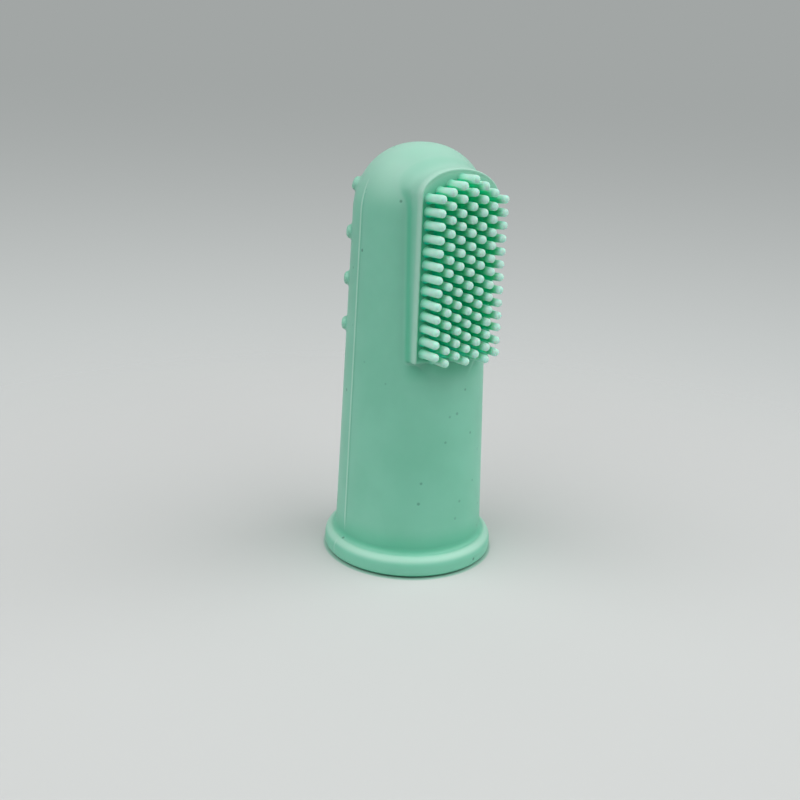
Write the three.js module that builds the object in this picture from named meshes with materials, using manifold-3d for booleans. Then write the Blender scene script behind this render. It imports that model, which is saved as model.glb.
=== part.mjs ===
// Pet finger toothbrush: a soft silicone thimble for a fingertip, with a pad of bristles on its front
// and low massage nubs on its back.
// Millimetres, +Z up. It stands on its rim with the bristles along -Y. The origin is on the floor,
// under the middle of the bounding box, so the sleeve's own axis lies a little way along +Y.

import * as THREE from 'three';
import { mergeVertices, toCreasedNormals } from 'three/addons/utils/BufferGeometryUtils.js';
import Module from 'manifold-3d';

const wasm = await Module();
wasm.setup();

// --- Driving sizes, in millimetres and degrees ---

// Sleeve: a cone with a domed tip, narrower by its taper at the shoulder than at the base
const SLEEVE_LENGTH = 46.0;
const SLEEVE_BASE_DIAMETER = 21.9;
const SLEEVE_TAPER = 3.2;
const DOME_HEIGHT = 9.8;
const WALL = 1.8;
const TIP_WALL = 2.2;

// Rim: a rounded bead round the mouth
const RIM_HEIGHT = 3.4;
const RIM_PROJECTION = 1.55;
const RIM_CROWN_HEIGHT = 1.7;
const RIM_FOOT_ROUND = 0.35;
const MOUTH_ROUND = 0.5;

// Brush pad: an arch-topped block raised on the sleeve's front, with a lip round its bed
const PAD_WIDTH = 12.0;
const PAD_HEIGHT = 25.4;
const PAD_TOP_BELOW_TIP = 2.8;
const PAD_ARCH_RISE = 3.55;
const PAD_RAMP = 2.8;
const BED_PROUD = 0.05;
const BED_THICKNESS = 0.6;
const LIP_WIDTH = 0.55;
const LIP_HEIGHT = 0.15;
const LIP_ROUND = 0.24;
const LIP_RETURN = 1.8;

// Bristles
const BRISTLE_LENGTH = 3.6;
const BRISTLE_ROOT_DIAMETER = 1.2;
const BRISTLE_TIP_DIAMETER = 1.1;
const BRISTLE_COLUMN_GAP = 0.375;
const BRISTLE_ROW_GAP = 0.475;
const BED_FOOT_MARGIN = 0.75;
const BED_EDGE_MARGIN = 0.1;
const MIDDLE_GROUP_COLUMNS = 3;

// Massage nubs on the back
const NUB_DIAMETER = 1.9;
const NUB_HEIGHT = 0.75;
const NUB_ROWS = 4;
const NUB_ROW_PITCH = 6.5;
const NUB_TOP_ABOVE_SHOULDER = 4.0;
const NUB_COLUMN_ANGLE = 60;

// Parting ridges, where the mould halves meet
const RIDGE_WIDTH = 0.35;
const RIDGE_HEIGHT = 0.18;
const RIDGE_DOME_ANGLE = 31;

// Clearance between a piece and the curved wall, the lip or the next slice beside it
const SEAT_GAP = 0.12;

// Facets
const ROUND_FACETS = 72;
const DOME_STEPS = 9;
const CORNER_STEPS = 3;
const CROWN_STEPS = 6;
const ARCH_STEPS = 12;
const BRISTLE_FACETS = 8;
const NUB_FACETS = 12;
const NUB_STEPS = 3;
const CREASE_ANGLE = 35;

// --- Worked out from the driving sizes ---

const BASE_RADIUS = SLEEVE_BASE_DIAMETER / 2;
const SHOULDER_RADIUS = (SLEEVE_BASE_DIAMETER - SLEEVE_TAPER) / 2;
const SHOULDER_Z = RIM_HEIGHT + SLEEVE_LENGTH;
const TIP_Z = SHOULDER_Z + DOME_HEIGHT;
const RIM_RADIUS = BASE_RADIUS + RIM_PROJECTION;
const BORE_RADIUS = BASE_RADIUS - WALL;

const PAD_HALF_WIDTH = PAD_WIDTH / 2;
const PAD_TOP_Z = TIP_Z - PAD_TOP_BELOW_TIP;
const PAD_FOOT_Z = PAD_TOP_Z - PAD_HEIGHT;
const PAD_SPRING_Z = PAD_TOP_Z - PAD_ARCH_RISE;
const BED_REACH = sleeveRadius(PAD_FOOT_Z) + BED_PROUD;
const SEAT_REACH = BED_REACH - BED_THICKNESS;
const TIP_REACH = BED_REACH + BRISTLE_LENGTH;

const BRISTLE_RADIUS = BRISTLE_ROOT_DIAMETER / 2;
const COLUMN_PITCH = BRISTLE_ROOT_DIAMETER + BRISTLE_COLUMN_GAP;
const ROW_PITCH = BRISTLE_ROOT_DIAMETER + BRISTLE_ROW_GAP;

const AXIS_Y = (TIP_REACH - RIM_RADIUS) / 2;

// Radius of the sleeve's outside at a height
function sleeveRadius(z) {
  if (z <= SHOULDER_Z) {
    return THREE.MathUtils.mapLinear(z, RIM_HEIGHT, SHOULDER_Z, BASE_RADIUS, SHOULDER_RADIUS);
  }
  const rise = Math.min((z - SHOULDER_Z) / DOME_HEIGHT, 1);
  return SHOULDER_RADIUS * Math.sqrt(1 - rise * rise);
}

// Outward direction of the sleeve's outside at a height: x is away from the axis, y is up
function sleeveNormal(z) {
  if (z <= SHOULDER_Z) {
    return new THREE.Vector2(SLEEVE_LENGTH, BASE_RADIUS - SHOULDER_RADIUS).normalize();
  }
  const along = sleeveRadius(z) / SHOULDER_RADIUS ** 2;
  const up = (z - SHOULDER_Z) / DOME_HEIGHT ** 2;
  return new THREE.Vector2(along, up).normalize();
}

// --- Geometry helpers ---

// Points of a quarter ellipse about a centre, from one angle to another in degrees
function arcPoints(centre, radiusX, radiusY, fromAngle, toAngle, steps) {
  const points = [];
  for (let i = 0; i <= steps; i += 1) {
    const angle = THREE.MathUtils.degToRad(THREE.MathUtils.lerp(fromAngle, toAngle, i / steps));
    const x = centre.x + radiusX * Math.cos(angle);
    const y = centre.y + radiusY * Math.sin(angle);
    points.push(new THREE.Vector2(Math.abs(x) < 1e-9 ? 0 : x, y));
  }
  return points;
}

// Solid turned about the +Z axis from a profile of (radius, height)
function turned(profile, facets) {
  const geometry = new THREE.LatheGeometry(profile, facets);
  geometry.rotateX(Math.PI / 2);
  return geometry;
}

// Shape in the XZ plane pushed forward along -Y, from one distance in front of the axis to another
function pushedForward(shape, fromReach, toReach, options = {}) {
  const geometry = new THREE.ExtrudeGeometry(shape, {
    depth: toReach - fromReach,
    bevelEnabled: false,
    curveSegments: ARCH_STEPS,
    ...options,
  });
  geometry.rotateX(Math.PI / 2);
  geometry.translate(0, -fromReach, 0);
  return geometry;
}

// Box between two corners
function boxBetween(low, high) {
  const size = new THREE.Vector3().subVectors(high, low);
  const geometry = new THREE.BoxGeometry(size.x, size.y, size.z);
  geometry.translate((low.x + high.x) / 2, (low.y + high.y) / 2, (low.z + high.z) / 2);
  return geometry;
}

// Closed solid for boolean work, from the positions of a geometry, without its collapsed triangles
function toSolid(geometry) {
  const bare = new THREE.BufferGeometry();
  bare.setAttribute('position', geometry.getAttribute('position').clone());
  bare.setIndex(geometry.index);
  const welded = mergeVertices(bare, 1e-4);
  const index = welded.index.array;
  const triangles = [];
  for (let i = 0; i < index.length; i += 3) {
    const [a, b, c] = [index[i], index[i + 1], index[i + 2]];
    if (a !== b && b !== c && c !== a) {
      triangles.push(a, b, c);
    }
  }
  return new wasm.Manifold(new wasm.Mesh({
    numProp: 3,
    vertProperties: new Float32Array(welded.getAttribute('position').array),
    triVerts: new Uint32Array(triangles),
  }));
}

// three.js geometry of a solid, smooth on its round faces and sharp at its edges
function toGeometry(solid) {
  const mesh = solid.getMesh();
  const geometry = new THREE.BufferGeometry();
  geometry.setAttribute('position', new THREE.BufferAttribute(mesh.vertProperties, mesh.numProp));
  geometry.setIndex(new THREE.BufferAttribute(mesh.triVerts, 1));
  return toCreasedNormals(geometry, THREE.MathUtils.degToRad(CREASE_ANGLE));
}

// --- Sub-parts, all of one satin silicone rubber ---

function addPiece(group, name, solid) {
  const silicone = new THREE.MeshStandardMaterial({ color: 0x86c4a9, roughness: 0.55, metalness: 0 });
  const piece = new THREE.Mesh(toGeometry(solid), silicone);
  piece.name = name;
  group.add(piece);
  return piece;
}

// Outline of the pad, drawn in by an inset, with its foot at a height
function padShape(inset, footZ) {
  const halfWidth = PAD_HALF_WIDTH - inset;
  const shape = new THREE.Shape();
  shape.moveTo(-halfWidth, footZ);
  shape.lineTo(halfWidth, footZ);
  shape.lineTo(halfWidth, PAD_SPRING_Z);
  shape.absellipse(0, PAD_SPRING_Z, halfWidth, PAD_ARCH_RISE - inset, 0, Math.PI, false);
  return shape;
}

// Sleeve's outside or, drawn in by its walls, its finger bore
function sleeveProfile(sideWall, tipWall, footZ) {
  const footRadius = sleeveRadius(footZ) - sideWall;
  const shoulder = new THREE.Vector2(0, SHOULDER_Z);
  const dome = arcPoints(shoulder, SHOULDER_RADIUS - sideWall, DOME_HEIGHT - tipWall, 0, 90, DOME_STEPS);
  return [new THREE.Vector2(0, footZ), new THREE.Vector2(footRadius, footZ), ...dome];
}

// Raised block under the brush, whose foot runs down to the sleeve on a ramp
function padBlock() {
  const block = toSolid(pushedForward(padShape(0, PAD_FOOT_Z - PAD_RAMP), 0, BED_REACH));
  const wedge = new THREE.Shape();
  wedge.moveTo(-BED_REACH - 1, PAD_FOOT_Z + 1);
  wedge.lineTo(-BED_REACH + PAD_RAMP, PAD_FOOT_Z - PAD_RAMP);
  wedge.lineTo(-BED_REACH - 1, PAD_FOOT_Z - PAD_RAMP - 1);
  const cutter = new THREE.ExtrudeGeometry(wedge, { depth: PAD_WIDTH + 2, bevelEnabled: false });
  cutter.rotateX(Math.PI / 2);
  cutter.rotateZ(Math.PI / 2);
  cutter.translate(-PAD_HALF_WIDTH - 1, 0, 0);
  return block.subtract(toSolid(cutter));
}

function addSleeve(group) {
  const outside = toSolid(turned(sleeveProfile(0, 0, RIM_HEIGHT), ROUND_FACETS));
  const bore = toSolid(turned(sleeveProfile(WALL, TIP_WALL, RIM_HEIGHT - 1), ROUND_FACETS));
  const seat = toSolid(pushedForward(padShape(-LIP_WIDTH, PAD_FOOT_Z), SEAT_REACH, BED_REACH + 1));
  const sleeve = outside.add(padBlock()).subtract(bore).subtract(seat);
  addPiece(group, 'finger_sleeve', sleeve);
}

function addRim(group) {
  const foot = new THREE.Vector2(RIM_RADIUS - RIM_FOOT_ROUND, RIM_FOOT_ROUND);
  const crown = new THREE.Vector2(BASE_RADIUS, RIM_HEIGHT - RIM_CROWN_HEIGHT);
  const mouth = new THREE.Vector2(BORE_RADIUS + MOUTH_ROUND, MOUTH_ROUND);
  const outline = [
    ...arcPoints(foot, RIM_FOOT_ROUND, RIM_FOOT_ROUND, -90, 0, CORNER_STEPS),
    ...arcPoints(crown, RIM_PROJECTION, RIM_CROWN_HEIGHT, 0, 90, CROWN_STEPS),
    new THREE.Vector2(BORE_RADIUS, RIM_HEIGHT),
    ...arcPoints(mouth, MOUTH_ROUND, MOUTH_ROUND, 180, 270, CORNER_STEPS),
  ];
  outline.push(outline[0].clone());
  addPiece(group, 'base_rim', toSolid(turned(outline, ROUND_FACETS)));
}

// Outline of the lip round the arch and both sides, which turns in a short way along the pad's foot
function lipShape() {
  const outer = PAD_HALF_WIDTH;
  const inner = PAD_HALF_WIDTH - LIP_WIDTH;
  const returnEnd = PAD_HALF_WIDTH - LIP_RETURN;
  const returnZ = PAD_FOOT_Z + LIP_WIDTH;
  const band = new THREE.Shape();
  band.moveTo(returnEnd, PAD_FOOT_Z);
  band.lineTo(outer, PAD_FOOT_Z);
  band.lineTo(outer, PAD_SPRING_Z);
  band.absellipse(0, PAD_SPRING_Z, outer, PAD_ARCH_RISE, 0, Math.PI, false);
  band.lineTo(-outer, PAD_FOOT_Z);
  band.lineTo(-returnEnd, PAD_FOOT_Z);
  band.lineTo(-returnEnd, returnZ);
  band.lineTo(-inner, returnZ);
  band.lineTo(-inner, PAD_SPRING_Z);
  band.absellipse(0, PAD_SPRING_Z, inner, PAD_ARCH_RISE - LIP_WIDTH, Math.PI, 0, true);
  band.lineTo(inner, returnZ);
  band.lineTo(returnEnd, returnZ);
  return band;
}

// Lip with a rounded crown, which stands on the pad's seat and encloses its bed
function addLip(group) {
  const crownReach = BED_REACH + LIP_HEIGHT;
  const lower = toSolid(pushedForward(lipShape(), SEAT_REACH, crownReach - LIP_ROUND));
  const upper = pushedForward(lipShape(), SEAT_REACH + LIP_ROUND, crownReach - LIP_ROUND, {
    bevelEnabled: true,
    bevelSegments: 3,
    bevelThickness: LIP_ROUND,
    bevelSize: LIP_ROUND,
    bevelOffset: -LIP_ROUND,
  });
  addPiece(group, 'pad_lip', lower.add(toSolid(upper)));
}

// Places of the bristles, column by column: each column stands half a pitch off its neighbours, and
// fills the pad's arch from its foot to its top
function bristlePlaces() {
  const bedInset = LIP_WIDTH + BED_EDGE_MARGIN + BRISTLE_RADIUS;
  const bedHalfWidth = PAD_HALF_WIDTH - bedInset;
  const outerColumn = Math.floor(bedHalfWidth / COLUMN_PITCH);
  const middleTop = PAD_TOP_Z - bedInset;
  const places = [];
  for (let column = -outerColumn; column <= outerColumn; column += 1) {
    const halfSteps = Math.abs(column);
    const top = middleTop - (halfSteps * ROW_PITCH) / 2;
    const bottom = PAD_FOOT_Z + BED_FOOT_MARGIN + (halfSteps % 2 === 1 ? ROW_PITCH / 2 : 0);
    for (let z = bottom; z < top + ROW_PITCH / 4; z += ROW_PITCH) {
      places.push({ column, x: column * COLUMN_PITCH, z });
    }
  }
  return places;
}

// One bristle standing on the bed: a slightly tapered peg with a round tip
function bristleGeometry() {
  const tipRadius = BRISTLE_TIP_DIAMETER / 2;
  const tipCentre = new THREE.Vector2(0, BRISTLE_LENGTH - tipRadius);
  const profile = [
    new THREE.Vector2(0, -BED_THICKNESS / 2),
    new THREE.Vector2(BRISTLE_RADIUS, -BED_THICKNESS / 2),
    new THREE.Vector2(BRISTLE_RADIUS, 0),
    ...arcPoints(tipCentre, tipRadius, tipRadius, 0, 90, CORNER_STEPS),
  ];
  return turned(profile, BRISTLE_FACETS).rotateX(Math.PI / 2);
}

// Bed of the brush inside the lip, clear of the lip's returns
function bedSolid() {
  const inset = LIP_WIDTH + SEAT_GAP;
  const footZ = PAD_FOOT_Z + SEAT_GAP;
  const bed = toSolid(pushedForward(padShape(inset, footZ), SEAT_REACH, BED_REACH));
  const clearX = PAD_HALF_WIDTH - LIP_RETURN - SEAT_GAP;
  const clearZ = PAD_FOOT_Z + LIP_WIDTH + SEAT_GAP;
  const low = new THREE.Vector3(clearX, -TIP_REACH, 0);
  const high = new THREE.Vector3(PAD_WIDTH, 0, clearZ);
  const rightReturn = toSolid(boxBetween(low, high));
  const leftReturn = rightReturn.mirror([1, 0, 0]);
  return bed.subtract(rightReturn).subtract(leftReturn);
}

// Slices of the bed, side by side, each with the bristles of its columns
function addBristles(group) {
  const cut = (MIDDLE_GROUP_COLUMNS * COLUMN_PITCH) / 2;
  const edge = PAD_HALF_WIDTH - LIP_WIDTH - SEAT_GAP;
  const slices = [
    { name: 'bristles_left', from: -edge, to: -cut - SEAT_GAP / 2 },
    { name: 'bristles_middle', from: -cut + SEAT_GAP / 2, to: cut - SEAT_GAP / 2 },
    { name: 'bristles_right', from: cut + SEAT_GAP / 2, to: edge },
  ];
  const bed = bedSolid();
  for (const { name, from, to } of slices) {
    const low = new THREE.Vector3(from, -TIP_REACH, 0);
    const high = new THREE.Vector3(to, 0, TIP_Z);
    let slice = bed.intersect(toSolid(boxBetween(low, high)));
    for (const { x, z } of bristlePlaces()) {
      if (x > from && x < to) {
        slice = slice.add(toSolid(bristleGeometry().translate(x, -BED_REACH, z)));
      }
    }
    addPiece(group, name, slice);
  }
}

// Low domes in rows and columns on the back
function addNubs(group) {
  const radius = NUB_DIAMETER / 2;
  const dome = arcPoints(new THREE.Vector2(0, 0), radius, NUB_HEIGHT, 0, 90, NUB_STEPS);
  const columns = [
    { side: 'left', turn: -NUB_COLUMN_ANGLE },
    { side: 'middle', turn: 0 },
    { side: 'right', turn: NUB_COLUMN_ANGLE },
  ];
  const up = new THREE.Vector3(0, 0, 1);
  for (const { side, turn } of columns) {
    const angle = THREE.MathUtils.degToRad(turn);
    for (let row = 0; row < NUB_ROWS; row += 1) {
      const z = SHOULDER_Z + NUB_TOP_ABOVE_SHOULDER - row * NUB_ROW_PITCH;
      const slope = sleeveNormal(z);
      const away = new THREE.Vector3(slope.x * Math.sin(angle), slope.x * Math.cos(angle), slope.y);
      const reach = sleeveRadius(z);
      const solid = toSolid(turned([new THREE.Vector2(0, 0), ...dome], NUB_FACETS));
      const nub = addPiece(group, `massage_nub_${side}_${row + 1}`, solid);
      nub.position.set(reach * Math.sin(angle), reach * Math.cos(angle), z);
      nub.position.addScaledVector(away, SEAT_GAP / 2);
      nub.quaternion.setFromUnitVectors(up, away);
    }
  }
}

// Outside of the sleeve moved outwards by an offset, from the rim to where the ridges end
function ridgeEdge(offset) {
  const edge = [];
  const foot = sleeveNormal(RIM_HEIGHT).multiplyScalar(offset);
  edge.push(new THREE.Vector2(BASE_RADIUS + foot.x, RIM_HEIGHT + SEAT_GAP));
  for (let i = 0; i <= DOME_STEPS; i += 1) {
    const angle = THREE.MathUtils.degToRad((RIDGE_DOME_ANGLE * i) / DOME_STEPS);
    const z = SHOULDER_Z + DOME_HEIGHT * Math.sin(angle);
    const away = sleeveNormal(z).multiplyScalar(offset);
    edge.push(new THREE.Vector2(sleeveRadius(z) + away.x, z + away.y));
  }
  return edge;
}

function addPartingRidges(group) {
  const outline = [...ridgeEdge(SEAT_GAP / 2), ...ridgeEdge(SEAT_GAP / 2 + RIDGE_HEIGHT).reverse()];
  for (const { side, turn } of [{ side: 'right', turn: 0 }, { side: 'left', turn: Math.PI }]) {
    const strip = pushedForward(new THREE.Shape(outline), -RIDGE_WIDTH / 2, RIDGE_WIDTH / 2);
    const ridge = addPiece(group, `parting_ridge_${side}`, toSolid(strip));
    ridge.rotation.z = turn;
  }
}

// --- The toothbrush ---

const toothbrush = new THREE.Group();
const onSleeveAxis = new THREE.Group();
onSleeveAxis.position.y = AXIS_Y;
toothbrush.add(onSleeveAxis);

addSleeve(onSleeveAxis);
addRim(onSleeveAxis);
addLip(onSleeveAxis);
addBristles(onSleeveAxis);
addNubs(onSleeveAxis);
addPartingRidges(onSleeveAxis);

export default toothbrush;
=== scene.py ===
"""Looks of a pet finger toothbrush: a mint silicone thimble with a brush pad, on a pale floor."""

import logging
import math
import random
from collections.abc import Callable, Iterable, Mapping, Sequence
from dataclasses import dataclass
from enum import Enum
from itertools import pairwise

import bmesh
import bpy
from mathutils import Matrix, Vector


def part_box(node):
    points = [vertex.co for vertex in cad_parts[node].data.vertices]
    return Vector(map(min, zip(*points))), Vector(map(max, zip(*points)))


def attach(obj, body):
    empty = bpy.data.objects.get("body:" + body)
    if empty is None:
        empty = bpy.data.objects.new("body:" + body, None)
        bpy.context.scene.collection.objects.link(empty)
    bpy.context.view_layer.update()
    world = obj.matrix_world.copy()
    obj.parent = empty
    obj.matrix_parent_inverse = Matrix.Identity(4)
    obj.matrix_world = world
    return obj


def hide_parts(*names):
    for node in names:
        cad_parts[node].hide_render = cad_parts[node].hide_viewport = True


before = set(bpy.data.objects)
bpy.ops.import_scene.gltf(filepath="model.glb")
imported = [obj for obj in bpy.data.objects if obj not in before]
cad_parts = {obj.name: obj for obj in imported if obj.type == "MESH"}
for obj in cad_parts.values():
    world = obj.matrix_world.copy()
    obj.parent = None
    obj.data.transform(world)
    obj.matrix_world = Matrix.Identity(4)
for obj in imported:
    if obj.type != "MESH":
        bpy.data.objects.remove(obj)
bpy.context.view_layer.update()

MM = 0.001
PAINTED_LIGHT = "tone"
log = logging.getLogger("finger_toothbrush")

Number = float | int
Point2 = tuple[float, float]
Colour = tuple[float, float, float, float]
Settings = Mapping[str, object] | None
Sockets = Mapping[str | int, object] | None


class Side(Enum):
    """The two halves of the mould, and the strip between them."""

    LEFT = -1
    MIDDLE = 0
    RIGHT = 1

    @property
    def word(self) -> str:
        """The side as it is written in a piece's name."""
        return self.name.lower()


def mix(low: float, high: float, share: float) -> float:
    """Value between two others."""
    return low + (high - low) * share


@dataclass(frozen=True)
class Fade:
    """A smooth step from 0 at its start to 1 at its end, which may be the lower number."""

    start: float
    end: float

    def at(self, value: float, origin: float = 0.0) -> float:
        """Height of the step at a value.

        Args:
            value: The value.
            origin: What the step's start and end are counted from.

        Returns:
            A share from 0 to 1.
        """
        low, high = origin + self.start, origin + self.end
        share = min(max((value - low) / (high - low), 0.0), 1.0)
        return share * share * (3.0 - 2.0 * share)


def arc(centre: Point2, radii: Point2, start: float, end: float, steps: int) -> list[Point2]:
    """Points of an elliptic arc.

    Args:
        centre: Centre of the arc.
        radii: Half-axes across and up.
        start: First angle, in degrees.
        end: Last angle, in degrees.
        steps: Number of chords.

    Returns:
        The points, from start to end.
    """
    angles = [math.radians(mix(start, end, step / steps)) for step in range(steps + 1)]
    (x, z), (across, up) = centre, radii
    return [(x + across * math.cos(angle), z + up * math.sin(angle)) for angle in angles]


def linear(red: int, green: int, blue: int) -> Colour:
    """Linear colour of an 8-bit screen colour, by the sRGB curve.

    Args:
        red: Red channel, from 0 to 255.
        green: Green channel.
        blue: Blue channel.

    Returns:
        The colour, with full alpha.
    """

    def channel(value: int) -> float:
        """One channel."""
        share = value / 255
        return share / 12.92 if share <= 0.04045 else ((share + 0.055) / 1.055) ** 2.4

    return channel(red), channel(green), channel(blue), 1.0


def new_object(name: str, data: bpy.types.ID) -> bpy.types.Object:
    """Puts an object into the scene.

    Args:
        name: Name of the object.
        data: Its mesh, lamp or camera.

    Returns:
        The object, at the origin.
    """
    thing = bpy.data.objects.new(name, data)
    bpy.context.scene.collection.objects.link(thing)
    return thing


def foot_centre() -> Vector:
    """Middle of the rim's foot, where the sleeve's axis meets the floor."""
    low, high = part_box("base_rim")
    return Vector(((low.x + high.x) / 2, (low.y + high.y) / 2, low.z))


# --- Shading ---


@dataclass(frozen=True)
class Signal:
    """A value that changes over a surface: an output socket with arithmetic."""

    SMOOTH = {"interpolation_type": "SMOOTHSTEP"}

    shader: "Shader"
    socket: bpy.types.NodeSocket

    def _math(self, operation: str, *values: "Signal | Number") -> "Signal":
        """Adds a Math node and gives its output."""
        sockets = dict(enumerate(values))
        return self.shader.signal("ShaderNodeMath", 0, {"operation": operation}, sockets)

    def __add__(self, other: "Signal | Number") -> "Signal":
        """Sum."""
        return self._math("ADD", self, other)

    __radd__ = __add__

    def __mul__(self, other: "Signal | Number") -> "Signal":
        """Product."""
        return self._math("MULTIPLY", self, other)

    __rmul__ = __mul__

    def __sub__(self, other: "Signal | Number") -> "Signal":
        """Difference."""
        return self._math("SUBTRACT", self, other)

    def __rsub__(self, other: "Signal | Number") -> "Signal":
        """Difference from a number."""
        return self._math("SUBTRACT", other, self)

    def step(self, fade: Fade) -> "Signal":
        """Smooth step of the value."""
        sockets = {"Value": self, "From Min": fade.start, "From Max": fade.end}
        return self.shader.signal("ShaderNodeMapRange", "Result", self.SMOOTH, sockets)


class Shader:
    """The node tree of one material or of the world."""

    NOISE_ROUGHNESS = 0.55
    MIX = {"data_type": "RGBA", "clamp_factor": True}
    MIX_FACTOR, MIX_FIRST, MIX_SECOND, MIX_RESULT = 0, 6, 7, 2

    def __init__(self, owner: bpy.types.Material | bpy.types.World) -> None:
        """Takes over a node tree and clears it.

        Args:
            owner: The material or the world.
        """
        owner.use_nodes = True
        self.tree = owner.node_tree
        self.tree.nodes.clear()

    def add(self, kind: str, settings: Settings = None, sockets: Sockets = None) -> bpy.types.Node:
        """Adds a node.

        Args:
            kind: The node's type.
            settings: Its properties, set first.
            sockets: Values or links of its inputs, by name or index.

        Returns:
            The node.
        """
        node = self.tree.nodes.new(kind)
        for name, value in (settings or {}).items():
            setattr(node, name, value)
        for key, value in (sockets or {}).items():
            if isinstance(value, Signal):
                self.tree.links.new(value.socket, node.inputs[key])
            elif isinstance(value, bpy.types.NodeSocket):
                self.tree.links.new(value, node.inputs[key])
            else:
                node.inputs[key].default_value = value
        return node

    def signal(
        self, kind: str, output: str | int, settings: Settings = None, sockets: Sockets = None
    ) -> Signal:
        """Adds a node and gives one of its outputs."""
        return Signal(self, self.add(kind, settings, sockets).outputs[output])

    def blend(self, first: Signal | Colour, second: Signal | Colour, share: Signal) -> Signal:
        """Colour between two others."""
        sockets = {self.MIX_FACTOR: share, self.MIX_FIRST: first, self.MIX_SECOND: second}
        return self.signal("ShaderNodeMix", self.MIX_RESULT, self.MIX, sockets)

    def noise(self, place: Signal, size: float, detail: float = 2.0) -> Signal:
        """Noise with lumps of about a size, in millimetres."""
        lumps = {"Scale": 1.0 / (size * MM), "Detail": detail, "Roughness": self.NOISE_ROUGHNESS}
        return self.signal("ShaderNodeTexNoise", "Fac", None, {"Vector": place, **lumps})


@dataclass(frozen=True)
class Silicone:
    """Satin silicone rubber from a finely blasted mould, cloudy in the mass, with dust specks.

    A vertex attribute paints light: a highlight on thin edges and lit faces, up to 1, and shade in
    crevices, down to -1, and darker shade at contact lines, on to -2. Sizes are in millimetres.
    """

    name: str = "mint_silicone"
    colour: Colour = linear(130, 202, 176)
    cloud: Colour = linear(124, 197, 170)
    # Painted light: a painted highlight colour, then painted shade colours for crevices and for
    # contact lines.
    painted_highlight: Colour = linear(172, 219, 200)
    painted_shade: Colour = linear(60, 180, 140)
    painted_deep_shade: Colour = linear(24, 98, 78)
    speck: Colour = linear(74, 140, 116)
    cloud_size: float = 9.0
    cloud_detail: float = 3.0
    cloud_edge: Fade = Fade(0.35, 0.7)
    speck_share: float = 0.75
    speck_spacing: float = 2.7
    speck_edge: Fade = Fade(0.11, 0.055)
    speck_onset: float = 0.02
    speck_strength: Point2 = (0.3, 0.9)
    roughness: float = 0.42
    gloss_size: float = 5.0
    gloss_spread: float = 0.10
    ior: float = 1.5
    grain: float = 0.12
    grain_depth: float = 0.03
    fine_size: float = 0.16
    fine_weight: float = 0.7
    soft_size: float = 1.6
    soft_weight: float = 0.6
    scatter: float = 0.3
    scatter_depth: float = 1.2
    scatter_radius: tuple[float, float, float] = (0.55, 1.0, 0.8)

    def material(self) -> bpy.types.Material:
        """Builds the material.

        Returns:
            A material whose colour, gloss and grain follow the object's own coordinates.
        """
        material = bpy.data.materials.new(self.name)
        shader = Shader(material)
        place = shader.signal("ShaderNodeTexCoord", "Object")
        colour = self._colour(shader, place)
        fine = shader.noise(place, self.fine_size) * self.fine_weight
        soft = shader.noise(place, self.soft_size) * self.soft_weight
        relief = {"Strength": self.grain, "Distance": self.grain_depth * MM, "Height": fine + soft}
        gloss = shader.noise(place, self.gloss_size) * self.gloss_spread
        surface = shader.add(
            "ShaderNodeBsdfPrincipled",
            {"subsurface_method": "RANDOM_WALK"},
            {
                "Base Color": colour,
                "Roughness": gloss + (self.roughness - self.gloss_spread / 2),
                "IOR": self.ior,
                "Subsurface Weight": self.scatter,
                "Subsurface Radius": self.scatter_radius,
                "Subsurface Scale": self.scatter_depth * MM,
                "Normal": shader.signal("ShaderNodeBump", "Normal", None, relief),
            },
        )
        shader.add("ShaderNodeOutputMaterial", None, {"Surface": surface.outputs["BSDF"]})
        return material

    def _colour(self, shader: Shader, place: Signal) -> Signal:
        """Colour over the surface.

        Args:
            shader: The material's nodes.
            place: The object's own coordinates.

        Returns:
            The clouded colour with its painted light and shade, and its specks.
        """
        tone = shader.signal("ShaderNodeAttribute", "Fac", {"attribute_name": PAINTED_LIGHT})
        clouds = shader.noise(place, self.cloud_size, self.cloud_detail).step(self.cloud_edge)
        colour = shader.blend(self.colour, self.cloud, clouds)
        # Painted shade, darker painted shade and painted highlight, blended in by the vertex
        # attribute.
        colour = shader.blend(colour, self.painted_shade, tone * -1)
        colour = shader.blend(colour, self.painted_deep_shade, tone * -1 - 1)
        colour = shader.blend(colour, self.painted_highlight, tone)
        if self.speck_share > 0:
            colour = shader.blend(colour, self.speck, self._specks(shader, place))
        return colour

    def _specks(self, shader: Shader, place: Signal) -> Signal:
        """Sparse dots of dust, about 0.4 mm wide.

        Args:
            shader: The material's nodes.
            place: The object's own coordinates.

        Returns:
            How strong a dot is at each place.
        """
        sockets = {"Vector": place, "Scale": 1.0 / (self.speck_spacing * MM), "Randomness": 1.0}
        cells = shader.add("ShaderNodeTexVoronoi", {"feature": "F1"}, sockets)
        lots = shader.add("ShaderNodeSeparateColor", None, {0: cells.outputs["Color"]})
        chance, lot = Signal(shader, lots.outputs[0]), Signal(shader, lots.outputs[1])
        near = Signal(shader, cells.outputs["Distance"]).step(self.speck_edge)
        bare = 1 - self.speck_share
        weak, strong = self.speck_strength
        strength = lot * (strong - weak) + weak
        return near * chance.step(Fade(bare, bare + self.speck_onset)) * strength


# The bristles have their own painted highlight and painted shade colours, for light through the
# thin rubber and shade between them.
BRISTLE_SILICONE = Silicone(
    name="mint_silicone_bristles",
    colour=linear(98, 224, 180),
    cloud=linear(92, 220, 174),
    painted_highlight=linear(195, 238, 221),
    painted_shade=linear(42, 240, 194),
    painted_deep_shade=linear(6, 246, 200),
    speck_share=0.0,
    scatter=0.7,
    scatter_radius=(0.4, 1.0, 0.8),
)
# The pad's darkest painted shade, between the bristles' roots.
PAD_SILICONE = Silicone(
    name="mint_silicone_pad", painted_deep_shade=linear(6, 226, 176), speck_share=0.0, scatter=0.15
)
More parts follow.
